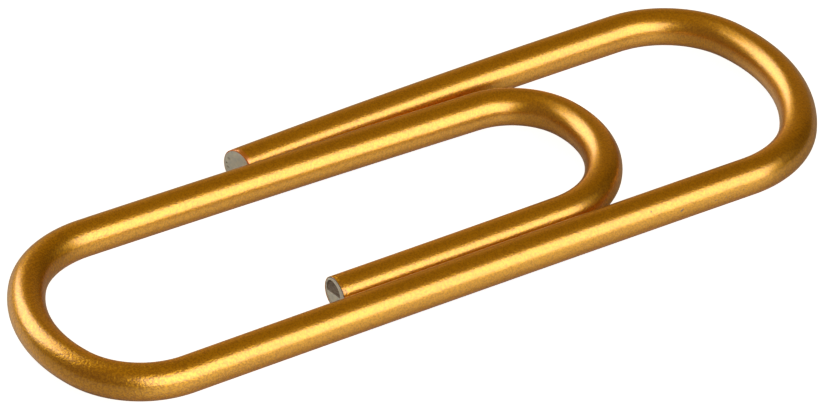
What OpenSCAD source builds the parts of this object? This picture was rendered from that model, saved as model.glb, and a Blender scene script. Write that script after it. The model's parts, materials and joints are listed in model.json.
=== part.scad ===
// Gem-style paper clip: one round steel wire with a thin gold coat, bent three times.
// The clip lies flat, its long axis along X, with the wide bend at +X and the return bend at -X.
// Each half of the wire is a chain of arcs that starts at the apex of the return bend, where the wire runs
// along Y. The tongue lifts by twisting the wire there, so the hinge axis is the wire's own axis.

/* [Wire] */
// Diameter of the bare steel wire
core_d = 1.10; // [0.9:0.05:1.2]
// Thickness of the gold coat
coat_t = 0.035; // [0.02:0.005:0.05]

/* [Legs] */
// Length of the outer leg, from the wide bend to its sheared end
outer_leg_l = 13.8; // [10:0.05:17]
// Length of the front leg, between the return bend and the wide bend
front_leg_l = 20.1; // [19:0.1:24]
// Length of the middle leg, between the return bend and the tongue bend
middle_leg_l = 13.85; // [12:0.05:14.5]
// Length of the tongue leg, from the tongue bend to its sheared end
tongue_leg_l = 8.1; // [5:0.05:10]
// Radius to which the outer leg is bowed towards the middle leg
outer_bow_r = 392; // [350:2:800]
// Angle by which the plane of the outer leg's bow leans down
outer_bow_lean = 52; // [0:1:75]
// Radius to which the front leg is bowed inwards
front_bow_r = 1700; // [1200:50:3000]
// Radius to which the middle leg is bowed outwards
middle_bow_r = 590; // [500:10:1200]
// Radius to which the tongue leg is bowed outwards
tongue_bow_r = 670; // [500:10:1200]

/* [Bends] */
// Return bend: radius of the corner next to the front leg
return_front_r = 2.7; // [2.5:0.05:3]
// Return bend: radius of the crown
return_crown_r = 5.25; // [5:0.05:5.6]
// Return bend: radius of the corner next to the middle leg
return_rear_r = 3.4; // [3.2:0.05:3.7]
// Return bend: how far over 180 degrees it turns
return_extra = 1.4; // [0.8:0.1:1.6]
// Wide bend: radius of the corner next to the front leg
wide_front_r = 3.4; // [3.2:0.05:3.8]
// Wide bend: radius of the crown
wide_crown_r = 6.1; // [6.05:0.05:6.6]
// Wide bend: radius of the corner next to the outer leg
wide_rear_r = 3.05; // [3:0.05:3.4]
// Wide bend: how far over 180 degrees it turns
wide_extra = -0.6; // [-1.5:0.1:-0.4]
// Tongue bend: radius of the corner next to the middle leg
tongue_rear_r = 2.35; // [2:0.05:2.4]
// Tongue bend: radius of the crown
tongue_crown_r = 3.85; // [3.4:0.05:3.9]
// Tongue bend: radius of the corner next to the tongue leg
tongue_front_r = 2.95; // [2.5:0.05:3]
// Tongue bend: how far over 180 degrees it turns
tongue_extra = -2.9; // [-3:0.1:-1]

/* [Sheared ends] */
// Slant of the cut across the outer leg's end
outer_slant = 12; // [0:0.5:25]
// Direction in which that slanted face looks, from sideways (0) to up (90)
outer_slant_roll = 19; // [0:1:90]
// Slant of the cut across the tongue leg's end
tongue_slant = 3.5; // [0:0.5:25]
// Direction in which that face looks, from sideways (0) to down (-90)
tongue_slant_roll = -77; // [-90:1:90]
// Angle by which the floor of the hollow falls away, where the tongue's steel tore off
breakout = 9; // [2:1:20]
// Radius of that hollow, as a share of the steel's radius
hollow_share = 0.75; // [0.6:0.01:0.8]
// Direction in which the hollow gets deeper, from sideways (0) to up (90)
hollow_roll = 82; // [0:1:90]

/* [Hidden] */
$fn = 64;

steel = [0.72, 0.73, 0.74];
gold = [0.86, 0.60, 0.10];
core_r = core_d / 2;
wire_r = core_r + coat_t;
// Length of wire that stands past a leg's end before its cut
cut_spare = 0.5;
// Radius of the hollow, its middle and its straight side, seen in the direction in which it gets deeper
hollow_r = hollow_share * core_r;
hollow_ahead = 0.06 * core_r;
hollow_aside = -0.17 * core_r;
hollow_start = -0.045 * core_r;
// Size of the block that is cut away at a sheared end
cutter = 4;
// Steps in which a run is walked to find the clip's extent
steps = 32;

// Each bend is a three-centred arch. Its corners and crown turn through the angles of the 3-4-5 and the
// 7-24-25 triangles, so that their meeting points fall on round decimals and their faces match exactly.
small_turn = atan2(4, 3);
large_turn = atan2(24, 7);
crown_turn = atan2(4, 3);
crown_front_turn = 90 - large_turn;
crown_rear_turn = 90 - small_turn;

// A run of wire is [radius, turn]: it starts along X and turns left. A leg is a run of a very large radius.
function leg(length, bow_r) = [bow_r, length / bow_r * 180 / PI];

// The front half of the wire, from the apex of the return bend to the outer leg's end
front_chain = [
  [return_crown_r, crown_front_turn],
  [return_front_r, large_turn + return_extra / 2],
  leg(front_leg_l, -front_bow_r),
  [wide_front_r, small_turn],
  [wide_crown_r, crown_turn],
  [wide_rear_r, 180 - small_turn - crown_turn + wide_extra],
  leg(outer_leg_l, outer_bow_r)
];
// The rear half, from the same apex to the tongue leg's end, as it lies when mirrored in Y
rear_chain = [
  [return_crown_r, crown_rear_turn],
  [return_rear_r, small_turn + return_extra / 2],
  leg(middle_leg_l, middle_bow_r),
  [tongue_rear_r, large_turn],
  [tongue_crown_r, crown_turn],
  [tongue_front_r, 180 - large_turn - crown_turn + tongue_extra],
  leg(tongue_leg_l, tongue_bow_r)
];

function shift(v) = [[1, 0, 0, v[0]], [0, 1, 0, v[1]], [0, 0, 1, v[2]], [0, 0, 0, 1]];
function turn_z(a) = [[cos(a), -sin(a), 0, 0], [sin(a), cos(a), 0, 0], [0, 0, 1, 0], [0, 0, 0, 1]];
function roll_x(a) = [[1, 0, 0, 0], [0, cos(a), -sin(a), 0], [0, sin(a), cos(a), 0], [0, 0, 0, 1]];
// Point reached after a run has turned through an angle
function along(radius, turn) = [radius * sin(turn), radius * (1 - cos(turn)), 0];
// Step from the start of a run to its end
function past(run) = shift(along(run[0], run[1])) * turn_z(run[1]);
// Place and direction of the wire at the start of run i of a chain that leaves the apex along -Y
function frame_at(chain, i) = i == 0 ? turn_z(-90) : frame_at(chain, i - 1) * past(chain[i - 1]);
// Number of the run, in either chain, that is the leg with a free end
free_run = 6;
// The outer leg's own frame: the plane of its bow leans down
outer_frame = frame_at(front_chain, free_run) * roll_x(-outer_bow_lean);

// Points along one run, seen from a frame
function walk(frame, run) =
  [for (s = [0:steps]) let (p = along(run[0], run[1] * s / steps)) frame * [p[0], p[1], p[2], 1]];
outer_points = walk(outer_frame, front_chain[free_run]);
front_points = [for (i = [0:free_run - 1]) each walk(frame_at(front_chain, i), front_chain[i])];
rear_points = [for (i = [0:free_run]) each walk(frame_at(rear_chain, i), rear_chain[i])];
all_points = concat(outer_points, front_points, [for (p = rear_points) [p[0], -p[1], p[2]]]);
xs = [for (p = all_points) p[0]];
ys = [for (p = all_points) p[1]];
zs = [for (p = all_points) p[2]];
// The origin is the middle of the clip's footprint, on the surface that it rests on
apex_x = -(min(xs) + max(xs)) / 2;
apex_y = -(min(ys) + max(ys)) / 2;
apex_z = wire_r - min(zs);

// A solid or hollow length of wire, bent to one radius
module wire_arc(run, outside_r, inside_r) {
  translate([0, run[0], 0]) rotate([0, 0, -90]) rotate_extrude(angle = run[1])
    translate([run[0], 0]) difference() {
      circle(r = outside_r);
      if (inside_r > 0) circle(r = inside_r);
    }
}

// The same with the bend to the right
module wire_arc_right(run, outside_r, inside_r) {
  mirror([0, 1, 0]) wire_arc([-run[0], -run[1]], outside_r, inside_r);
}

// One arc after another, each from the end of the last
module wire_runs(runs, outside_r, inside_r) {
  if (runs[0][0] > 0) wire_arc(runs[0], outside_r, inside_r);
  else wire_arc_right(runs[0], outside_r, inside_r);
  if (len(runs) > 1)
    translate(along(runs[0][0], runs[0][1])) rotate([0, 0, runs[0][1]])
      wire_runs([for (i = [1:len(runs) - 1]) runs[i]], outside_r, inside_r);
}

// Puts a shape on the face where a leg is cut off, with X pointing out of the metal
module on_cut(run, slant, slant_roll) {
  translate(along(run[0], run[1])) rotate([0, 0, run[1]])
    rotate([slant_roll, 0, 0]) rotate([0, 0, slant]) rotate([-slant_roll, 0, 0]) children();
}

// A leg that is cut off at a slant
module sheared_leg(run, slant, slant_roll, outside_r, inside_r) {
  difference() {
    wire_runs([leg(run[0] * run[1] * PI / 180 + cut_spare, run[0])], outside_r, inside_r);
    on_cut(run, slant, slant_roll) translate([0, -cutter / 2, -cutter / 2]) cube(cutter);
  }
}

// The shallow hollow in a cut face where the steel tore off instead of being sheared: a round outline,
// straight on its shallow side, and a flat floor that gets deeper from there
module broken_hollow() {
  rotate([hollow_roll, 0, 0]) intersection() {
    translate([0, hollow_ahead, hollow_aside]) rotate([0, 90, 0])
      cylinder(h = cutter, r = hollow_r, center = true);
    linear_extrude(height = cutter, center = true)
      polygon([
        [0, hollow_start],
        [-cutter * tan(breakout), hollow_start + cutter],
        [cutter, hollow_start + cutter],
        [cutter, hollow_start]
      ]);
  }
}

// Runs from one to another of a chain, where they lie in the clip
module from_front(first, last, outside_r, inside_r) {
  translate([apex_x, apex_y, apex_z]) multmatrix(frame_at(front_chain, first))
    wire_runs([for (i = [first:last]) front_chain[i]], outside_r, inside_r);
}
module from_rear(first, last, outside_r, inside_r) {
  translate([apex_x, apex_y, apex_z]) mirror([0, 1, 0]) multmatrix(frame_at(rear_chain, first))
    wire_runs([for (i = [first:last]) rear_chain[i]], outside_r, inside_r);
}

module outer_leg(outside_r, inside_r) {
  translate([apex_x, apex_y, apex_z]) multmatrix(outer_frame)
    sheared_leg(front_chain[free_run], outer_slant, outer_slant_roll + outer_bow_lean, outside_r, inside_r);
}
module tongue_leg(outside_r, inside_r) {
  translate([apex_x, apex_y, apex_z]) mirror([0, 1, 0]) multmatrix(frame_at(rear_chain, free_run))
    difference() {
      sheared_leg(rear_chain[free_run], tongue_slant, tongue_slant_roll, outside_r, inside_r);
      if (inside_r == 0) on_cut(rear_chain[free_run], tongue_slant, tongue_slant_roll) broken_hollow();
    }
}

module outer_leg_core() color(steel) outer_leg(core_r, 0);
module outer_leg_coat() color(gold) outer_leg(wire_r, core_r);
module wide_bend_core() color(steel) from_front(3, 5, core_r, 0);
module wide_bend_coat() color(gold) from_front(3, 5, wire_r, core_r);
module front_leg_core() color(steel) from_front(2, 2, core_r, 0);
module front_leg_coat() color(gold) from_front(2, 2, wire_r, core_r);
module return_bend_front_core() color(steel) from_front(0, 1, core_r, 0);
module return_bend_front_coat() color(gold) from_front(0, 1, wire_r, core_r);
module return_bend_rear_core() color(steel) from_rear(0, 1, core_r, 0);
module return_bend_rear_coat() color(gold) from_rear(0, 1, wire_r, core_r);
module middle_leg_core() color(steel) from_rear(2, 2, core_r, 0);
module middle_leg_coat() color(gold) from_rear(2, 2, wire_r, core_r);
module tongue_bend_core() color(steel) from_rear(3, 5, core_r, 0);
module tongue_bend_coat() color(gold) from_rear(3, 5, wire_r, core_r);
module tongue_leg_core() color(steel) tongue_leg(core_r, 0);
module tongue_leg_coat() color(gold) tongue_leg(wire_r, core_r);

outer_leg_core();
outer_leg_coat();
wide_bend_core();
wide_bend_coat();
front_leg_core();
front_leg_coat();
return_bend_front_core();
return_bend_front_coat();
return_bend_rear_core();
return_bend_rear_coat();
middle_leg_core();
middle_leg_coat();
tongue_bend_core();
tongue_bend_coat();
tongue_leg_core();
tongue_leg_coat();
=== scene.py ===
"""A gold-coated paper clip: one steel wire in a thin coat, bent three times, with bare sheared ends.

The wire runs from the tongue leg's end, over the apex of the return bend, to the outer leg's end. Places along it
are measured from the apex: positive towards the outer leg, negative towards the tongue leg.
"""

import json
import math

import bpy
import numpy as np
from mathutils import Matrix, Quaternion, Vector


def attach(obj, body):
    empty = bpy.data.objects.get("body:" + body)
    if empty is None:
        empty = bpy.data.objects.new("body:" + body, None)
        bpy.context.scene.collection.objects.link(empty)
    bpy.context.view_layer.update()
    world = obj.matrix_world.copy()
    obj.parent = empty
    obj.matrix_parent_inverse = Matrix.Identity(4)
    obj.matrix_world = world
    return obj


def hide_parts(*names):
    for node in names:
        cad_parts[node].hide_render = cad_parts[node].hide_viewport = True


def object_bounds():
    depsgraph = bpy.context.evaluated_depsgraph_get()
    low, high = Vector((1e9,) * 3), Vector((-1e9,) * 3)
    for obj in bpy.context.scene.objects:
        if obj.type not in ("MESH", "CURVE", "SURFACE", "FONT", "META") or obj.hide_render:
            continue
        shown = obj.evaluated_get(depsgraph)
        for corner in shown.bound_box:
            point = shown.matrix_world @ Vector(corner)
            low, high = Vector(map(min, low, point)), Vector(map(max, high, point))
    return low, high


bl_info = {
    "name": "Gold wire paper clip",
    "version": (1, 0, 0),
    "blender": (4, 5, 0),
    "location": "View3D > Sidebar > Paper clip",
    "description": "Builds the dressed wire, its sheared ends and the studio round the packed clip",
    "category": "Add Mesh",
}

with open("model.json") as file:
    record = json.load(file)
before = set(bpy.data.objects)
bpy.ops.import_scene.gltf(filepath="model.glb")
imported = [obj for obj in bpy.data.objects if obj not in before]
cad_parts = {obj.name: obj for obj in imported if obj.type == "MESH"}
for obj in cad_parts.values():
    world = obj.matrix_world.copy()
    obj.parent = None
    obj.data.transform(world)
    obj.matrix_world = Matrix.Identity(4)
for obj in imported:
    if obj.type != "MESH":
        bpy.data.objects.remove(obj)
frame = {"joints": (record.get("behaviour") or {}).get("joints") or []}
CAD_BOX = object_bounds()
MM = 0.001

# The apex of the return bend, where the tongue's hinge is
APEX = Vector(frame["joints"][0]["pos_m"])

# Turns of the 3-4-5 and the 7-24-25 triangles, which the bends are made of, in degrees
SMALL_TURN = math.degrees(math.atan2(4, 3))
LARGE_TURN = math.degrees(math.atan2(24, 7))
RIGHT = 90.0
HALF = 180.0


def leg(length, bow_radius):
    """A leg of this length in mm is a run of a very large radius."""
    return bow_radius, math.degrees(length / bow_radius)


# How far over a half turn each bend goes, in degrees
RETURN_EXTRA = 1.4
WIDE_EXTRA = -0.6
TONGUE_EXTRA = -2.9

# Each run of wire is (radius in mm, turn in degrees). This half goes from the apex to the outer leg's end.
FRONT_RUNS = (
    (5.25, RIGHT - LARGE_TURN),  # Return bend, from its apex
    (2.7, LARGE_TURN + RETURN_EXTRA / 2),  # Return bend, corner next to the front leg
    leg(20.1, -1700.0),  # Front leg, bowed the other way
    (3.4, SMALL_TURN),  # Wide bend, corner next to the front leg
    (6.1, SMALL_TURN),  # Wide bend, crown
    (3.05, HALF - 2 * SMALL_TURN + WIDE_EXTRA),  # Wide bend, corner next to the outer leg
    leg(13.8, 392.0),  # Outer leg
)
# This half goes from the apex to the tongue leg's end, as it lies when mirrored in Y.
REAR_RUNS = (
    (5.25, RIGHT - SMALL_TURN),  # Return bend, from its apex
    (3.4, SMALL_TURN + RETURN_EXTRA / 2),  # Return bend, corner next to the middle leg
    leg(13.85, 590.0),  # Middle leg
    (2.35, LARGE_TURN),  # Tongue bend, corner next to the middle leg
    (3.85, SMALL_TURN),  # Tongue bend, crown
    (2.95, HALF - LARGE_TURN - SMALL_TURN + TONGUE_EXTRA),  # Tongue bend, corner next to the tongue leg
    leg(8.1, 670.0),  # Tongue leg
)
# The outer leg is the last of the front runs, and the plane of its bow leans down by this angle
OUTER_LEG = len(FRONT_RUNS) - 1
OUTER_BOW_LEAN = 52.0

# Shear cuts: the slant of the face, the direction in which it looks, the side from which the blade came and the side
# where it scuffed the coat, as angles in the end's own frame. The blade draws the edge in on its own side and leaves
# a burr on the other.
OUTER_CUT = {
    "slant": 12.0,
    "roll": 19.0 + OUTER_BOW_LEAN,
    "blade": 112.0,
    "scuff": 150.0,
    "drawn_in": 0.03 * MM,
    "burr": 0.02 * MM,
}
TONGUE_CUT = {
    "slant": 3.5,
    "roll": -77.0,
    "blade": 140.0,
    "scuff": 140.0,
    "drawn_in": 0.012 * MM,
    "burr": 0.04 * MM,
}
# The drawn-in edge: where it starts on the face and how wide it is, as shares of the wire's radius, how many times
# deeper it is on the face than on the skin, and how far back it reaches along the skin
DRAWN_FROM, DRAWN_WIDTH, DRAWN_DEEPER, DRAWN_REACH = 0.72, 0.28, 1.6, 0.17 * MM
# The burr: where it starts on the face and how wide its rise is, as shares of the wire's radius
BURR_FROM, BURR_WIDTH = 0.88, 0.1
# How far behind a cut the blade's scuffs reach, and how worn the coat counts as in them
SCUFF_REACH, SCUFF_WEAR = 0.3 * MM, 0.75
# Width of the coat's torn edge where the blade came from, and how much wider it is on the other side
EDGE_WIDTH, EDGE_WIDENING = 0.012 * MM, 0.03 * MM
# The torn edge counts as fully worn, and as this much less where the blade pressed it, to tell the two apart
PRESSED = 0.1
# The scuffs and the pressed part of the edge fade out round the wire, from the side where they are strongest: how
# fast, and how much of them remains a quarter round
SCUFF_FADE, PRESSED_FADE = (1.4, 0.1), (2.0, 0.5)
# The hollow in the tongue's end, where the steel tore off: how its floor falls, the direction in which it gets
# deeper, and its radius, middle and straight side as shares of the steel's radius
HOLLOW = {"fall": 9.0, "roll": 82.0, "radius": 0.75, "ahead": 0.06, "aside": -0.17, "start": -0.045}
# A floor of the hollow deeper than this is torn steel all over
TORN_DEPTH = 0.003 * MM


def shift(v):
    m = np.eye(4)
    m[:3, 3] = v
    return m


def turn_z(degrees):
    a = math.radians(degrees)
    m = np.eye(4)
    m[:2, :2] = [[math.cos(a), -math.sin(a)], [math.sin(a), math.cos(a)]]
    return m


def roll_x(degrees):
    a = math.radians(degrees)
    m = np.eye(4)
    m[1:3, 1:3] = [[math.cos(a), -math.sin(a)], [math.sin(a), math.cos(a)]]
    return m


def along(radius, turn):
    """The point that a run reaches after a turn, seen from its start."""
    a = math.radians(turn)
    return np.array([radius * math.sin(a), radius * (1 - math.cos(a)), 0.0])


class Wire:
    """The wire's centre line: points, directions and side vectors at places along it, in metres."""

    def __init__(self):
        self.runs = []
        for runs, mirrored in ((FRONT_RUNS, False), (REAR_RUNS, True)):
            here, place = turn_z(-RIGHT), 0.0
            for number, (radius, turn) in enumerate(runs):
                if number == OUTER_LEG and not mirrored:
                    here = here @ roll_x(-OUTER_BOW_LEAN)
                length = radius * math.radians(turn)
                self.runs.append((mirrored, place, length, radius, turn, here))
                here = here @ shift(along(radius, turn)) @ turn_z(turn)
                place += length
            if mirrored:
                self.tongue_end, self.tongue_frame = -place * MM, self._placed(here, True)
            else:
                self.outer_end, self.outer_frame = place * MM, self._placed(here, False)

    def _placed(self, here, mirrored):
        """A frame of the runs in metres, at the apex, and mirrored for the tongue's half."""
        m = np.array(here)
        if mirrored:
            m[1, :] *= -1
        m[:3, 3] = m[:3, 3] * MM + np.array(APEX)
        return m

    def at(self, places):
        """Point, direction (towards the outer end), right-hand side and upper side of the wire at each place."""
        points, directions = [], []
        for place in places:
            mirrored = place < 0
            far = abs(place) / MM
            own = [r for r in self.runs if r[0] == mirrored]
            run = next((r for r in own if far <= r[1] + r[2]), own[-1])
            _, start, length, radius, turn, here = run
            part = turn * (far - start) / length
            m = self._placed(here @ shift(along(radius, part)) @ turn_z(part), mirrored)
            points.append(m[:3, 3])
            directions.append(-m[:3, 0] if mirrored else m[:3, 0])
        points, directions = np.array(points), np.array(directions)
        up = np.array([0.0, 0.0, 1.0])
        uppers = up - (directions @ up)[:, None] * directions
        uppers /= np.linalg.norm(uppers, axis=1)[:, None]
        rights = np.cross(directions, uppers)
        return points, directions, rights, uppers


WIRE = Wire()
WIRE_RADIUS = 0.585 * MM


def length_property(name, description, default):
    return bpy.props.FloatProperty(
        name=name, description=description, default=default, subtype="DISTANCE", unit="LENGTH", precision=5
    )


def share_property(name, description, default):
    return bpy.props.FloatProperty(
        name=name, description=description, default=default, subtype="FACTOR", min=0, max=1
    )


def index_property(name, description, default):
    return bpy.props.FloatProperty(name=name, description=description, default=default, min=1)


def colour_property(name, description, default):
    return bpy.props.FloatVectorProperty(
        name=name, description=description, default=default, subtype="COLOR", min=0, max=1
    )


class ClipWireSizes(bpy.types.PropertyGroup):
    """Sizes of the wire and how finely it is made."""

    core_diameter: length_property("Steel diameter", "Diameter of the bare steel wire", 1.10 * MM)
    coat_thickness: length_property("Coat thickness", "Thickness of the gold coat", 0.035 * MM)
    ring_step: length_property("Ring step", "Distance between the mesh rings along the wire", 0.12 * MM)
    sides: bpy.props.IntProperty(
        name="Sides", description="Number of mesh points round the wire", default=72, min=16
    )


class ClipFinish(bpy.types.PropertyGroup):
    """Colours and surface of the coat and the bare steel."""

    gold: colour_property("Gold", "Colour of the coat", (0.95, 0.47, 0.012))
    deep_gold: colour_property("Deep gold", "Colour of the coat's darker grain", (0.72, 0.32, 0.006))
    rim_tint: colour_property("Rim tint", "Tint of the coat where it is seen at a low angle", (0.6, 0.45, 0.38))
    scuffed_gold: colour_property("Scuffed gold", "Colour of the coat where a blade scuffed it", (0.82, 0.35, 0.03))
    drawn_gold: colour_property("Drawn gold", "Colour of the coat drawn over the edge", (0.95, 0.33, 0.08))
    copper_edge: colour_property("Copper edge", "Reddish colour of the coat's torn edge", (0.75, 0.34, 0.09))
    dark_edge: colour_property("Dark edge", "Colour of the coat's edge where the blade pressed it", (0.13, 0.11, 0.12))
    grey_edge: colour_property("Grey edge", "Colour of the edge where steel was dragged over it", (0.9, 0.82, 0.88))
    nick: colour_property("Nick", "Colour in the bottom of a nick or speck", (0.1, 0.11, 0.12))
    coat_roughness: share_property("Coat roughness", "Roughness of the satin coat", 0.31)
    gloss_roughness: share_property("Gloss roughness", "Roughness of the coat's clear gloss", 0.25)
    gloss_index: index_property("Gloss index", "Refractive index of the coat's clear gloss", 1.85)
    grain_depth: share_property("Grain depth", "How strongly the coat's grain and marks stand out", 0.45)
    steel: colour_property("Steel", "Colour of the sheared steel", (0.95, 0.98, 1.0))
    dull_steel: colour_property("Dull steel", "Colour of the duller patches of the sheared steel", (0.8, 0.86, 0.93))
    torn_steel: colour_property("Torn steel", "Colour in the grooves of the torn steel", (0.26, 0.23, 0.22))
    torn_ridges: colour_property("Torn ridges", "Colour of the ridges of the torn steel", (0.44, 0.4, 0.4))
    steel_roughness: share_property("Steel roughness", "Roughness of the sheared steel", 0.68)
    steel_grain_depth: share_property("Steel grain depth", "How strongly the sheared steel's grain stands out", 0.5)


class ClipStudio(bpy.types.PropertyGroup):
    """The floor, the surroundings and the light."""

    floor: colour_property("Floor", "Colour of the floor", (0.44, 0.42, 0.37))
    floor_sheen: colour_property("Floor sheen", "Tint of the floor's soft sheen", (1.0, 0.97, 0.75))
    floor_roughness: share_property("Floor roughness", "Roughness of the floor's soft sheen", 0.48)
    floor_index: index_property("Floor index", "Refractive index of the floor, for the strength of its sheen", 4.0)
    floor_white: share_property("Floor white", "White that the camera sees on the floor", 0.95)
    mirrored_white: share_property("Mirrored white", "White of the floor that the wire mirrors", 0.05)
    low_surroundings: colour_property("Low surroundings", "Colour round the clip at a low level", (0.18, 0.115, 0.005))
    high_surroundings: colour_property("High surroundings", "Colour above the clip", (0.3, 0.2, 0.01))
    left_surroundings: colour_property("Left surroundings", "Colour on the return bend's side", (0.2, 0.135, 0.05))
    right_surroundings: colour_property("Right surroundings", "Colour on the wide bend's side", (0.12, 0.075, 0.005))
    back_surroundings: colour_property("Back surroundings", "Colour low behind the clip", (0.42, 0.27, 0.06))
    light_level: bpy.props.FloatProperty(
        name="Light level", description="Strength of all lamps together", default=1.0, min=0
    )


def smooth_rise(x):
    """Goes from 0 to 1 without corners as x does, and stays there."""
    x = np.clip(x, 0.0, 1.0)
    return x * x * (3 - 2 * x)


def fade(side, speed, remains):
    """1 on one side of the wire and 0 on the other; a quarter round it, so much remains."""
    return np.clip(side * speed + remains, 0, 1)


def places_between(low, high, step):
    """Even places from low to high, about a step apart."""
    count = max(2, int(round((high - low) / step)) + 1)
    return np.linspace(low, high, count)


# Faces that meet at a larger angle than this keep a sharp edge
SHARP_ANGLE = 40.0


class TubeMesh:
    """Vertices, faces and surface values of a length of wire, ring by ring."""

    def __init__(self, sides):
        self.sides = sides
        self.angles = np.linspace(0, 2 * math.pi, sides, endpoint=False)
        self.points, self.unbent, self.worn, self.faces = [], [], [], []

    def ring(self, points, unbent, worn=0.0):
        """Adds points, their places on the unbent wire and how worn they are, and returns the first one's number."""
        first = sum(len(p) for p in self.points)
        self.points.append(points)
        self.unbent.append(unbent)
        self.worn.append(np.broadcast_to(worn, (len(points),)))
        return first

    def join(self, a, b):
        """Faces between two rings, which look outwards where b lies further along the wire."""
        n = self.sides
        for i in range(n):
            j = (i + 1) % n
            self.faces.append((a + i, a + j, b + j, b + i))

    def close(self, a, point, unbent, worn, flip=False):
        """A fan of faces from a ring to a point."""
        centre = self.ring(point[None], unbent[None], worn)
        for i in range(self.sides):
            j = (i + 1) % self.sides
            self.faces.append((a + j, a + i, centre) if flip else (a + i, a + j, centre))

    def wire_ring(self, place, radius, extra=0.0, worn=0.0):
        """A ring square to the wire; extra moves each point along the wire's direction."""
        p, d, r, u = (v[0] for v in WIRE.at([place]))
        c, s = np.cos(self.angles)[:, None], np.sin(self.angles)[:, None]
        extra = np.broadcast_to(extra, (self.sides,))[:, None]
        radius = np.broadcast_to(radius, (self.sides,))[:, None]
        points = p + radius * (c * r + s * u) + extra * d
        unbent = np.hstack([place + extra, radius * c, radius * s])
        return self.ring(points, unbent, worn)

    def to_object(self, name, material, body, nodes):
        """The finished piece, which rides on a body and takes the place of its nodes."""
        points = np.vstack(self.points)
        mesh = bpy.data.meshes.new(name)
        mesh.from_pydata([tuple(p) for p in points], [], self.faces)
        unbent = mesh.attributes.new("unbent", "FLOAT_VECTOR", "POINT")
        unbent.data.foreach_set("vector", np.vstack(self.unbent).astype(np.float32).ravel())
        worn = mesh.attributes.new("worn", "FLOAT", "POINT")
        worn.data.foreach_set("value", np.concatenate(self.worn).astype(np.float32))
        mesh.polygons.foreach_set("use_smooth", [True] * len(mesh.polygons))
        mesh.set_sharp_from_angle(angle=math.radians(SHARP_ANGLE))
        mesh.materials.append(material)
        mesh.validate()
        piece = bpy.data.objects.new(name, mesh)
        bpy.context.scene.collection.objects.link(piece)
        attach(piece, body)
        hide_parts(*nodes)
        return piece


class CutEnd:
    """One sheared end of the wire: where its cut surface lies for any point of the section."""

    def __init__(self, outer):
        self.place = WIRE.outer_end if outer else WIRE.tongue_end
        self.sign = 1 if outer else -1
        self.cut = OUTER_CUT if outer else TONGUE_CUT
        m = WIRE.outer_frame if outer else WIRE.tongue_frame
        self.left, self.normal = m[:3, 1], m[:3, 2]
        point, direction, rights, uppers = (v[0] for v in WIRE.at([self.place]))
        self.point, self.outwards, self.right, self.upper = point, direction * self.sign, rights, uppers

    def own(self, across, up):
        """Offsets from the wire's axis, turned from its right-hand and upper side into the end's own frame."""
        off = across[:, None] * self.right + up[:, None] * self.upper
        return off @ self.left, off @ self.normal

    def unbent(self, y, z):
        """A point of the cut face, given in the end's own frame, in unbent wire coordinates."""
        off = (y * self.left + z * self.normal) * MM
        return Vector((self.place, off @ self.right, off @ self.upper))

    def blade_side(self, y, z, which="blade"):
        """1 on the side from which the blade came, or which it scuffed, -1 on the other side."""
        return np.cos(np.arctan2(z, y) - math.radians(self.cut[which]))

    def depth(self, across, up):
        """How far the cut surface lies past the wire's end on its axis."""
        y, z = self.own(across, up)
        side, far = self.blade_side(y, z), np.hypot(y, z) / WIRE_RADIUS
        roll = math.radians(self.cut["roll"])
        flat = -(y * math.cos(roll) + z * math.sin(roll)) * math.tan(math.radians(self.cut["slant"]))
        drawn = self.drawn_rim(side) * smooth_rise((far - DRAWN_FROM) / DRAWN_WIDTH)
        burr = self.cut["burr"] * np.clip(-side, 0, 1) ** 2 * smooth_rise((far - BURR_FROM) / BURR_WIDTH)
        return flat + burr - drawn * DRAWN_DEEPER

    def drawn_rim(self, side):
        """How far the very rim of the wire is drawn in."""
        return self.cut["drawn_in"] * np.clip(side, 0, 1) ** 1.5

    def drawn_in(self, angles, back):
        """How far the wire's skin is drawn in, at a distance behind the cut."""
        side = self.blade_side(*self.own(np.cos(angles), np.sin(angles)))
        return self.drawn_rim(side) * np.clip(1 - back / DRAWN_REACH, 0, 1) ** 2

    def wear(self, angles, back):
        """How worn the coat is behind the cut: up to SCUFF_WEAR where the blade scuffed it, nearly 1 on its edge."""
        y, z = self.own(np.cos(angles), np.sin(angles))
        side, scuffed_side = self.blade_side(y, z), self.blade_side(y, z, "scuff")
        scuffed = SCUFF_WEAR * np.clip(1 - back / SCUFF_REACH, 0, 1) * fade(scuffed_side, *SCUFF_FADE)
        edge_width = EDGE_WIDTH + EDGE_WIDENING * np.clip(-side, 0, 1)
        edge = (1 - PRESSED * fade(side, *PRESSED_FADE)) * (back < edge_width)
        return np.maximum(scuffed, edge)


def hollow_floor(radius, y, z):
    """How deep the floor of the hollow lies under the cut face."""
    roll = math.radians(HOLLOW["roll"])
    ahead = y * math.cos(roll) + z * math.sin(roll)
    return np.maximum(0, ahead - HOLLOW["start"] * radius) * math.tan(math.radians(HOLLOW["fall"]))


# Distances behind a cut at which the last rings stand, where they change from square to the slant of the cut
LAST_RINGS = np.array((0.6, 0.5, 0.4, 0.31, 0.24, 0.18, 0.13, 0.09, 0.06, 0.036, 0.018, 0.007, 0.0)) * MM
# The coat's outer edge at a cut is rounded off by this much, over this length
COAT_ROUNDING, ROUNDING_REACH = 0.007 * MM, 0.012 * MM


def slanted_rings(tube, end, radius, coat=False, rounding=0.0):
    """The last rings of a surface of the wire, up to the cut, whose edge may be rounded off."""
    rings = []
    for back in LAST_RINGS:
        r = radius - end.drawn_in(tube.angles, back)
        r = r - rounding * np.clip(1 - back / ROUNDING_REACH, 0, 1) ** 2
        depth = end.depth(r * np.cos(tube.angles), r * np.sin(tube.angles))
        share = 1 - back / LAST_RINGS[0]
        worn = end.wear(tube.angles, back) if coat else 0.0
        rings.append(tube.wire_ring(end.place, r, (depth * share - back) * end.sign, worn))
    return rings


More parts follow.
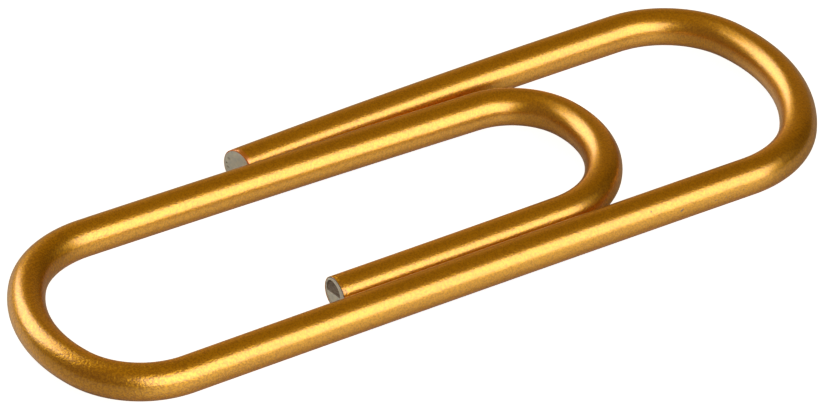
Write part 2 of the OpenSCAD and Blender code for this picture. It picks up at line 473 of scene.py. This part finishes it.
# Where the rings of a cut face stand, as shares of the way from the rim to the hollow's outline and from there to its
# middle. The outline of a face without a hollow is a smaller rim.
FACE_RINGS = (0.12, 0.3, 0.55, 0.8, 1.0)
HOLLOW_RINGS = (0.985, 0.9, 0.8, 0.7, 0.6, 0.5, 0.4, 0.3, 0.2, 0.1, 0.0)
INNER_RIM = 0.5


def hollow_middle(end, radius):
    """The middle of the hollow in the tongue's end, as an offset from the wire's axis."""
    roll = math.radians(HOLLOW["roll"])
    y = HOLLOW["ahead"] * math.cos(roll) - HOLLOW["aside"] * math.sin(roll)
    z = HOLLOW["ahead"] * math.sin(roll) + HOLLOW["aside"] * math.cos(roll)
    off = (y * end.left + z * end.normal) * radius
    return np.array([off @ end.right, off @ end.upper])


def close_cut_face(tube, last, end, radius):
    """Fill the cut face: from the rim to the hollow's outline, down its wall, then over its floor to its middle."""
    hollowed = end.sign < 0
    circle = np.stack([np.cos(tube.angles), np.sin(tube.angles)], axis=1)
    rim = (radius - end.drawn_in(tube.angles, 0.0))[:, None] * circle
    middle, outline = np.zeros(2), rim * INNER_RIM
    if hollowed:
        middle = hollow_middle(end, radius)
        outline = middle + HOLLOW["radius"] * radius * circle
    steps = [(rim + (outline - rim) * share, False) for share in FACE_RINGS]
    steps += [(middle + (outline - middle) * share, hollowed) for share in HOLLOW_RINGS]
    for spots, in_hollow in steps:
        depth, torn = end.depth(spots[:, 0], spots[:, 1]), 0.0
        if in_hollow:
            floor = hollow_floor(radius, *end.own(spots[:, 0], spots[:, 1]))
            depth, torn = depth - floor, smooth_rise(floor / TORN_DEPTH)
        points = end.point + spots[:, :1] * end.right + spots[:, 1:] * end.upper + depth[:, None] * end.outwards
        if np.allclose(spots, middle):
            tube.close(last, points[0], np.array([end.place, *middle]), np.max(torn), hollowed)
            return
        ring = tube.ring(points, np.column_stack([np.full(len(spots), end.place), spots]), torn)
        tube.join(ring, last) if hollowed else tube.join(last, ring)
        last = ring


def build_core(name, body, nodes, end, material):
    """The steel of one half of the wire, from the apex to its cut end."""
    sizes = bpy.context.scene.clip_wire
    radius = sizes.core_diameter / 2
    tube = TubeMesh(sizes.sides)
    places = places_between(0, abs(end.place) - LAST_RINGS[0], sizes.ring_step)
    rings = [tube.wire_ring(p * end.sign, radius) for p in places[:-1]]
    rings += slanted_rings(tube, end, radius)
    inward = end.sign < 0
    for a, b in zip(rings, rings[1:]):
        tube.join(b, a) if inward else tube.join(a, b)
    close_cut_face(tube, rings[-1], end, radius)
    tube.close(rings[0], WIRE.at([0.0])[0][0], np.zeros(3), 0.0, not inward)
    return tube.to_object(name, material, body, nodes)


def build_coat(name, body, nodes, end, material):
    """The coat of one half of the wire: its outer skin to the cut, and its inner skin back to the apex."""
    sizes = bpy.context.scene.clip_wire
    inner = sizes.core_diameter / 2
    outer = inner + sizes.coat_thickness
    tube = TubeMesh(sizes.sides)
    places = end.sign * places_between(0, abs(end.place) - LAST_RINGS[0], sizes.ring_step)[:-1]
    rings = [tube.wire_ring(p, outer) for p in places] + slanted_rings(tube, end, outer, True, COAT_ROUNDING)
    rings += slanted_rings(tube, end, inner, True)[::-1] + [tube.wire_ring(p, inner) for p in places[::-1]]
    for a, b in zip(rings, rings[1:] + rings[:1]):
        tube.join(b, a) if end.sign < 0 else tube.join(a, b)
    return tube.to_object(name, material, body, nodes)


class Value:
    """A shader number. Python arithmetic on it adds Math nodes."""

    def __init__(self, shader, socket):
        self.shader, self.socket = shader, socket

    def _math(self, operation, a, b):
        return self.shader.value(self.shader.node("ShaderNodeMath", {"operation": operation}, {0: a, 1: b}))

    def __add__(self, other):
        return self._math("ADD", self, other)

    __radd__ = __add__

    def __sub__(self, other):
        return self._math("SUBTRACT", self, other)

    def __rsub__(self, other):
        return self._math("SUBTRACT", other, self)

    def __mul__(self, other):
        return self._math("MULTIPLY", self, other)

    __rmul__ = __mul__


# A mark is at its darkest up to this share of its size
MARK_CORE = 0.4
# The highest points of a metal's grain stand this far over the lowest
GRAIN_HEIGHT = 0.02 * MM


# The middle of a noise pattern's values
NOISE_MIDDLE = 0.5


class Shader:
    """A material's or the world's node tree."""

    def __init__(self, tree):
        self.tree = tree
        tree.nodes.clear()

    def node(self, kind, settings=None, sockets=None):
        """Adds a node: its settings first, then the values or links of its sockets, by name or number."""
        made = self.tree.nodes.new(kind)
        for key, value in (settings or {}).items():
            setattr(made, key, value)
        for key, value in (sockets or {}).items():
            socket = made.inputs[key]
            if isinstance(value, Value):
                value = value.socket
            if isinstance(value, bpy.types.NodeSocket):
                self.tree.links.new(value, socket)
            else:
                socket.default_value = value
        return made

    def value(self, made, output=0):
        return Value(self, made.outputs[output])

    def mix(self, share, a, b):
        made = self.node("ShaderNodeMix", {"data_type": "RGBA"}, {"Factor": share, "A": a, "B": b})
        return made.outputs["Result"]

    def vector(self, operation, a, b=(0.0, 0.0, 0.0)):
        return self.node("ShaderNodeVectorMath", {"operation": operation}, {0: a, 1: b})

    def scaled(self, vector, scale):
        return self.vector("MULTIPLY", vector, scale).outputs[0]

    def turned(self, vector, degrees):
        angles = [math.radians(d) for d in degrees]
        made = self.node("ShaderNodeMapping", {"vector_type": "POINT"}, {"Vector": vector, "Rotation": angles})
        return made.outputs[0]

    def marks(self, vector, marks):
        """How dark small marks make a surface; each is a centre, half sizes in mm, a turn and a strength."""
        dark = 0.0
        for centre, size, turn, strength in marks:
            off = self.turned(self.vector("SUBTRACT", vector, centre).outputs[0], turn)
            far = self.vector("LENGTH", self.scaled(off, [1 / (s * MM) for s in size])).outputs["Value"]
            dark = self.between(far, 1.0, MARK_CORE) * strength + dark
        return dark

    def pattern(self, vector, cells, detail, roughness):
        """Noise with so many cells per metre along each axis."""
        sockets = {"Vector": self.scaled(vector, cells), "Scale": 1.0, "Detail": detail, "Roughness": roughness}
        return self.value(self.node("ShaderNodeTexNoise", {"noise_dimensions": "3D"}, sockets))

    def between(self, value, low, high):
        """0 below low, 1 above high."""
        made = self.node("ShaderNodeMapRange", {"clamp": True}, {"Value": value, "From Min": low, "From Max": high})
        return self.value(made)

    def wire_values(self):
        """What the meshes keep at each point: its place on the unbent wire, and how worn or torn it is."""
        unbent = self.node("ShaderNodeAttribute", {"attribute_name": "unbent"}).outputs["Vector"]
        return unbent, self.value(self.node("ShaderNodeAttribute", {"attribute_name": "worn"}), "Fac")

    def metal(self, base, rough, height, depth, constants):
        """Makes the material a metal with a fine relief."""
        bump = self.node("ShaderNodeBump", None, {"Strength": depth, "Distance": GRAIN_HEIGHT, "Height": height})
        sockets = {"Base Color": base, "Metallic": 1.0, "Roughness": rough, "Normal": bump.outputs[0]}
        shader = self.node("ShaderNodeBsdfPrincipled", None, {**sockets, **constants})
        self.node("ShaderNodeOutputMaterial", None, {"Surface": shader.outputs[0]})


def new_material(name):
    """An empty material and its node tree."""
    made = bpy.data.materials.new(name)
    made.use_nodes = True
    return made, Shader(made.node_tree)


def colour(value):
    return (*value, 1.0)


# Small blemishes of the coat: place along the wire in mm, angle round it from the right-hand side to the top,
# half length, half width and depth in mm, how the mark is turned, how dark it is
BLEMISHES = (
    (22.30, 7.0, 0.085, 0.034, 30.0, 0.9),
    (23.54, 1.0, 0.05, 0.03, 10.0, 0.35),
    (23.90, -1.0, 0.04, 0.03, 0.0, 0.3),
    (24.05, -2.0, 0.04, 0.025, 0.0, 0.3),
    (24.56, 5.0, 0.05, 0.03, 20.0, 0.3),
    (21.23, 35.0, 0.03, 0.03, 0.0, 0.5),
)


def round_the_wire(place, angle):
    """A point on the coat in unbent wire coordinates."""
    a = math.radians(angle)
    return Vector((place * MM, WIRE_RADIUS * math.cos(a), WIRE_RADIUS * math.sin(a)))


# The coat's patterns: cells per metre along, across and up the unbent wire, detail and roughness of the noise.
# The grain and the mottle are turned by the skew, so that they don't line up with the wire.
COAT_SKEW = (0.0, 24.0, -24.0)
COAT_GRAIN = ((18000.0, 15000.0, 15000.0), 1.0, 0.6)
COAT_MOTTLE = ((6000.0, 4500.0, 4500.0), 2.0, 0.55)
COAT_CLOUD = ((300.0, 1100.0, 1100.0), 3.0, 0.55)
# How much of its shade the coat has from its grain, mottle and cloud, between which sums it goes from deep gold to
# gold, and how much more the shade varies where the coat is stretched
SHADE_SHARES = (0.7, 0.12, 0.18)
SHADE_RANGE = (0.38, 0.6)
STRETCHED_SHADE = 7.5
# The coat is stretched fully up to the first of these distances from the apex, and not at all from the second
STRETCHED_TO, UNSTRETCHED_FROM = 4 * MM, 8 * MM
# How much of the scuffed patches comes from the grain and the mottle, and between which sums a patch begins
PATCH_SHARES = (0.4, 0.6)
PATCH_RANGE = (0.42, 0.56)
# How worn the coat is where it starts to be scuffed, drawn out, torn at its edge and, counted down, pressed there,
# and where it is so fully
SCUFFED_RANGE = (0.1, 0.5)
DRAWN_RANGE = (0.36, 0.5)
EDGE_RANGE = (0.82, 0.87)
PRESSED_RANGE = (0.99, 0.92)
# How much of the coat's own colour these cover
SCUFFED_COVER, DRAWN_COVER, EDGE_COVER = 0.8, 0.85, 0.9
# How much the grain varies the coat's roughness, and what a scuffed patch and the edge add to it
GRAIN_ROUGHNESS, SCUFFED_ROUGHNESS, EDGE_ROUGHNESS = 0.08, 0.05, 0.25
# The coat's relief: the heights of the grain and the mottle, each with what it gains where the coat is stretched, the
# height of a scuffed patch and the depth of a blemish
GRAIN_RELIEF, MOTTLE_RELIEF = (1.0, 0.6), (0.15, 0.25)
SCUFFED_RELIEF, BLEMISH_RELIEF = 1.5, 3.0


def satin_gold():
    finish = bpy.context.scene.clip_finish
    made, sh = new_material("satin_gold_coat")
    unbent, worn = sh.wire_values()
    place = sh.value(sh.node("ShaderNodeSeparateXYZ", None, {0: unbent}), "X")
    skewed = sh.turned(unbent, COAT_SKEW)
    grain = sh.pattern(skewed, *COAT_GRAIN)
    mottle = sh.pattern(skewed, *COAT_MOTTLE)
    cloud = sh.pattern(unbent, *COAT_CLOUD)

    # The coat of the tight return bend is stretched, so its grain is stronger
    stretched = sh.between(place * place, UNSTRETCHED_FROM**2, STRETCHED_TO**2)
    pattern = grain * SHADE_SHARES[0] + mottle * SHADE_SHARES[1] + cloud * SHADE_SHARES[2]
    shade = sh.between(pattern, *SHADE_RANGE) + (pattern - NOISE_MIDDLE) * stretched * STRETCHED_SHADE
    base = sh.mix(shade, colour(finish.deep_gold), colour(finish.gold))

    # Behind the tongue's cut the blade scuffed the coat in patches, and behind the outer leg's cut it drew it out.
    # Outer is 0 on the tongue's half of the wire and 1 on the other.
    outer = sh.between(place, -MM, MM)
    patches = sh.between(grain * PATCH_SHARES[0] + mottle * PATCH_SHARES[1], *PATCH_RANGE)
    scuffed = sh.between(worn, *SCUFFED_RANGE) * patches * (1.0 - outer)
    drawn = sh.between(worn, *DRAWN_RANGE) * outer
    base = sh.mix(scuffed * SCUFFED_COVER, base, colour(finish.scuffed_gold))
    base = sh.mix(drawn * DRAWN_COVER, base, colour(finish.drawn_gold))

    # On the very edge it is pressed or drawn out where the blade came from, and elsewhere torn or smeared with steel
    edge, pressed = sh.between(worn, *EDGE_RANGE), sh.between(worn, *PRESSED_RANGE)
    tongue_edge = sh.mix(pressed, colour(finish.copper_edge), colour(finish.dark_edge))
    outer_edge = sh.mix(pressed, colour(finish.grey_edge), colour(finish.drawn_gold))
    base = sh.mix(edge * EDGE_COVER, base, sh.mix(outer, tongue_edge, outer_edge))

    blemishes = [
        (round_the_wire(at, angle), (length, width, width), (0.0, turn, 0.0), strength)
        for at, angle, length, width, turn, strength in BLEMISHES
    ]
    dark = sh.marks(unbent, blemishes)
    base = sh.mix(dark, base, colour(finish.nick))
    rough = finish.coat_roughness + (grain - NOISE_MIDDLE) * GRAIN_ROUGHNESS
    rough = rough + scuffed * SCUFFED_ROUGHNESS + edge * EDGE_ROUGHNESS
    height = grain * (GRAIN_RELIEF[0] + stretched * GRAIN_RELIEF[1])
    height = height + mottle * (MOTTLE_RELIEF[0] + stretched * MOTTLE_RELIEF[1])
    height = height + scuffed * SCUFFED_RELIEF - dark * BLEMISH_RELIEF
    gloss = {
        "Specular Tint": colour(finish.rim_tint),
        "Coat Weight": 1.0,
        "Coat Roughness": finish.gloss_roughness,
        "Coat IOR": finish.gloss_index,
    }
    sh.metal(base, rough, height, finish.grain_depth, gloss)
    return made


# Dark specks and smudges on the outer leg's cut face: where they lie in the end's own frame, half sizes, strength
FACE_SPECKS = (
    (-0.258, -0.382, 0.045, 0.035, 0.8),
    (-0.355, -0.196, 0.09, 0.06, 0.35),
    (-0.125, -0.407, 0.08, 0.05, 0.4),
)
# Specks reach this far into the steel, in mm
SPECK_DEPTH = 0.4

# The sheared steel's patterns, as for the coat. The streaks of the torn steel are turned by the tilt.
STEEL_GRAIN = ((30000.0, 30000.0, 30000.0), 3.0, 0.6)
STEEL_CLOUD = ((5000.0, 5000.0, 5000.0), 2.0, 0.5)
TORN_STREAKS = ((1.0, 4500.0, 34000.0), 2.0, 0.5)
STREAK_TILT = (-12.0, 0.0, 0.0)
# How much of the dull patches comes from the cloud and the grain, and between which values the steel goes from dull
# to bright, or in the torn zone from groove to ridge
DULL_SHARES = (0.7, 0.3)
STEEL_RANGE = (0.4, 0.62)
# How much the grain varies the steel's roughness
STEEL_GRAIN_ROUGHNESS = 0.2
# The steel's relief: the height of the grain with what it gains in the torn zone, and the height of the streaks there
STEEL_RELIEF, STREAK_RELIEF = (0.3, 0.6), 1.5


def sheared_steel():
    finish = bpy.context.scene.clip_finish
    made, sh = new_material("sheared_steel")
    unbent, torn = sh.wire_values()
    grain = sh.pattern(unbent, *STEEL_GRAIN)
    cloud = sh.pattern(unbent, *STEEL_CLOUD)
    streaks = sh.pattern(sh.turned(unbent, STREAK_TILT), *TORN_STREAKS)
    bright = sh.between(cloud * DULL_SHARES[0] + grain * DULL_SHARES[1], *STEEL_RANGE)
    base = sh.mix(bright, colour(finish.dull_steel), colour(finish.steel))
    ridges = sh.between(streaks, *STEEL_RANGE)
    base = sh.mix(torn, base, sh.mix(ridges, colour(finish.torn_steel), colour(finish.torn_ridges)))

    face = CutEnd(True)
    specks = [
        (face.unbent(y, z), (SPECK_DEPTH, length, width), (0.0, 0.0, 0.0), strength)
        for y, z, length, width, strength in FACE_SPECKS
    ]
    base = sh.mix(sh.marks(unbent, specks), base, colour(finish.nick))
    rough = finish.steel_roughness + (grain - NOISE_MIDDLE) * STEEL_GRAIN_ROUGHNESS
    height = grain * (STEEL_RELIEF[0] + torn * STEEL_RELIEF[1]) + streaks * torn * STREAK_RELIEF
    sh.metal(base, rough, height, finish.steel_grain_depth, {})
    return made


# The zones of the wire in each body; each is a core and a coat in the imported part
LOOP_ZONES = ("outer_leg", "wide_bend", "front_leg", "return_bend_front")
TONGUE_ZONES = ("return_bend_rear", "middle_leg", "tongue_bend", "tongue_leg")


class ClipSteelWire(bpy.types.Operator):
    """Make the steel core of both halves of the wire, with its sheared ends."""

    bl_idname = "paper_clip.steel_wire"
    bl_label = "Steel wire"

    def execute(self, context):
        steel = sheared_steel()
        build_core("outer_loop_steel", "outer_loop", [z + "_core" for z in LOOP_ZONES], CutEnd(True), steel)
        build_core("tongue_steel", "tongue", [z + "_core" for z in TONGUE_ZONES], CutEnd(False), steel)
        return {"FINISHED"}


class ClipGoldCoat(bpy.types.Operator):
    """Make the gold coat of both halves of the wire."""

    bl_idname = "paper_clip.gold_coat"
    bl_label = "Gold coat"

    def execute(self, context):
        gold = satin_gold()
        build_coat("outer_loop_gold", "outer_loop", [z + "_coat" for z in LOOP_ZONES], CutEnd(True), gold)
        build_coat("tongue_gold", "tongue", [z + "_coat" for z in TONGUE_ZONES], CutEnd(False), gold)
        return {"FINISHED"}


# The camera: where it looks, from which side, how far off, and its lens and sensor in mm
CAMERA_TARGET = Vector((0.0000378, -0.0000410, 0.000585))
CAMERA_AZIMUTH = -31.6156
CAMERA_ELEVATION = 33.9626
CAMERA_DISTANCE = 0.342566
CAMERA_LENS = 487.618
CAMERA_SENSOR = 36.0
CAMERA_CLIP = (0.01, 10.0)

# The floor reaches this far to each side, and lies just under the clip
FLOOR_REACH = 2.0
FLOOR_GAP = 0.01 * MM

# The surroundings: the direction of the back as shares of X and Y, and between which shares of a direction each side,
# the top, the back and, counted down, the low part of the back begin and are full
BACK_X, BACK_Y = 0.45, 0.89
TOP_RANGE = (0.5, 1.0)
LEFT_RANGE = (-0.2, -1.0)
RIGHT_RANGE = (0.5, 0.9)
BACK_RANGE = (0.65, 0.97)
LOW_RANGE = (0.75, 0.35)

# The softboxes: where each stands, seen from the clip, the angles that it fills and how bright its cloth is
SOFTBOX_DISTANCE = 0.45
SOFTBOX_TINT = (0.97, 1.0, 1.08)
SOFTBOXES = (
    {
        "name": "front_softbox",
        "azimuth": -80.5,
        "elevation": 31.0,
        "wide": 65.0,
        "high": 52.0,
        "turn": -8.0,
        "brightness": 2.0,
    },
    {
        "name": "back_softbox",
        "azimuth": 108.5,
        "elevation": 31.0,
        "wide": 42.0,
        "high": 34.0,
        "turn": 0.0,
        "brightness": 2.1,
    },
)


def direction_to(azimuth, elevation):
    """Azimuth is counted from +X towards +Y."""
    a, e = math.radians(azimuth), math.radians(elevation)
    return Vector((math.cos(a) * math.cos(e), math.sin(a) * math.cos(e), math.sin(e)))


def add_softbox(name, azimuth, elevation, wide, high, turn, brightness):
    """A lamp that faces the clip, fills these angles as seen from there, and is turned on its own axis."""
    lamp = bpy.data.lights.new(name, "AREA")
    lamp.shape = "RECTANGLE"
    lamp.size = 2 * SOFTBOX_DISTANCE * math.tan(math.radians(wide / 2))
    lamp.size_y = 2 * SOFTBOX_DISTANCE * math.tan(math.radians(high / 2))
    lamp.color = SOFTBOX_TINT
    lamp.energy = brightness * bpy.context.scene.clip_studio.light_level * math.pi * lamp.size * lamp.size_y
    made = bpy.data.objects.new(name, lamp)
    towards = direction_to(azimuth, elevation)
    made.location = towards * SOFTBOX_DISTANCE
    made.rotation_mode = "QUATERNION"
    upright = (-towards).to_track_quat("-Z", "Y")
    made.rotation_quaternion = upright @ Quaternion((0, 0, 1), math.radians(turn))
    made.visible_camera = False
    bpy.context.scene.collection.objects.link(made)


def pale_floor(studio):
    """A matt floor with a soft sheen, which the camera sees as white and the wire mirrors as dim."""
    made, sh = new_material("pale_floor")
    ray = sh.node("ShaderNodeLightPath")
    mirrored = sh.value(ray, "Is Glossy Ray") + sh.value(ray, "Is Transmission Ray")
    white = sh.value(ray, "Is Camera Ray") * studio.floor_white + mirrored * studio.mirrored_white
    sockets = {
        "Base Color": colour(studio.floor),
        "Roughness": studio.floor_roughness,
        "IOR": studio.floor_index,
        "Specular Tint": colour(studio.floor_sheen),
    }
    matt = sh.node("ShaderNodeBsdfPrincipled", None, sockets)
    glow = sh.node("ShaderNodeEmission", None, {"Color": (1.0, 1.0, 1.0, 1.0), "Strength": white})
    both = sh.node("ShaderNodeAddShader", None, {0: matt.outputs[0], 1: glow.outputs[0]})
    sh.node("ShaderNodeOutputMaterial", None, {"Surface": both.outputs[0]})
    return made


def add_floor(scene):
    """A level square, far larger than the clip."""
    mesh = bpy.data.meshes.new("floor")
    corners = [(-1, -1), (1, -1), (1, 1), (-1, 1)]
    mesh.from_pydata([(x * FLOOR_REACH, y * FLOOR_REACH, 0) for x, y in corners], [], [(0, 1, 2, 3)])
    mesh.materials.append(pale_floor(scene.clip_studio))
    floor = bpy.data.objects.new("floor", mesh)
    floor.location.z = CAD_BOX[0].z - FLOOR_GAP
    scene.collection.objects.link(floor)


def add_surroundings(scene):
    """A dim room: darker on the wide bend's side, lighter above and low behind the clip."""
    studio = scene.clip_studio
    world = bpy.data.worlds.new("studio")
    world.use_nodes = True
    scene.world = world
    ws = Shader(world.node_tree)
    direction = ws.node("ShaderNodeTexCoord").outputs["Generated"]
    axes = ws.node("ShaderNodeSeparateXYZ", None, {0: direction})
    height, side = ws.value(axes, "Z"), ws.value(axes, "X")
    behind = side * BACK_X + ws.value(axes, "Y") * BACK_Y
    low_behind = ws.between(behind, *BACK_RANGE) * ws.between(height, *LOW_RANGE)
    room = ws.mix(ws.between(height, *TOP_RANGE), colour(studio.low_surroundings), colour(studio.high_surroundings))
    room = ws.mix(ws.between(side, *LEFT_RANGE), room, colour(studio.left_surroundings))
    room = ws.mix(ws.between(side, *RIGHT_RANGE), room, colour(studio.right_surroundings))
    room = ws.mix(low_behind, room, colour(studio.back_surroundings))
    background = ws.node("ShaderNodeBackground", None, {"Color": room, "Strength": 1.0})
    ws.node("ShaderNodeOutputWorld", None, {"Surface": background.outputs[0]})


def add_camera(scene):
    """The photograph's camera. Its azimuth is counted from -Y towards +X."""
    azimuth, elevation = math.radians(CAMERA_AZIMUTH), math.radians(CAMERA_ELEVATION)
    level = math.cos(elevation)
    back = Vector((math.sin(azimuth) * level, -math.cos(azimuth) * level, math.sin(elevation)))
    lens = bpy.data.cameras.new("camera")
    lens.sensor_width = CAMERA_SENSOR
    lens.lens = CAMERA_LENS
    lens.clip_start, lens.clip_end = CAMERA_CLIP
    camera = bpy.data.objects.new("camera", lens)
    camera.location = CAMERA_TARGET + back * CAMERA_DISTANCE
    camera.rotation_mode = "QUATERNION"
    camera.rotation_quaternion = (-back).to_track_quat("-Z", "Y")
    scene.collection.objects.link(camera)
    scene.camera = camera


class ClipStage(bpy.types.Operator):
    """Make the floor, the light and the camera."""

    bl_idname = "paper_clip.stage"
    bl_label = "Stage"

    def execute(self, context):
        scene = context.scene
        add_floor(scene)
        add_surroundings(scene)
        for softbox in SOFTBOXES:
            add_softbox(**softbox)
        scene.view_settings.view_transform = "Standard"
        add_camera(scene)
        return {"FINISHED"}


class ClipPanel(bpy.types.Panel):
    """Lists the clip's sizes, finishes and steps."""

    bl_idname = "VIEW3D_PT_paper_clip"
    bl_label = "Paper clip"
    bl_space_type = "VIEW_3D"
    bl_region_type = "UI"
    bl_category = "Paper clip"

    def draw(self, context):
        scene = context.scene
        for group in (scene.clip_wire, scene.clip_finish, scene.clip_studio):
            box = self.layout.box()
            for name in group.bl_rna.properties.keys():
                if name not in {"rna_type", "name"}:
                    box.prop(group, name)
        for step in STEPS:
            self.layout.operator(step.bl_idname)


STEPS = (ClipSteelWire, ClipGoldCoat, ClipStage)
GROUPS = (ClipWireSizes, ClipFinish, ClipStudio)


def register():
    for made in (*GROUPS, *STEPS, ClipPanel):
        bpy.utils.register_class(made)
    bpy.types.Scene.clip_wire = bpy.props.PointerProperty(type=ClipWireSizes)
    bpy.types.Scene.clip_finish = bpy.props.PointerProperty(type=ClipFinish)
    bpy.types.Scene.clip_studio = bpy.props.PointerProperty(type=ClipStudio)


def unregister():
    del bpy.types.Scene.clip_wire
    del bpy.types.Scene.clip_finish
    del bpy.types.Scene.clip_studio
    for made in reversed((*GROUPS, *STEPS, ClipPanel)):
        bpy.utils.unregister_class(made)


def main():
    register()
    bpy.ops.paper_clip.steel_wire()
    bpy.ops.paper_clip.gold_coat()
    bpy.ops.paper_clip.stage()


if __name__ == "__main__":
    main()
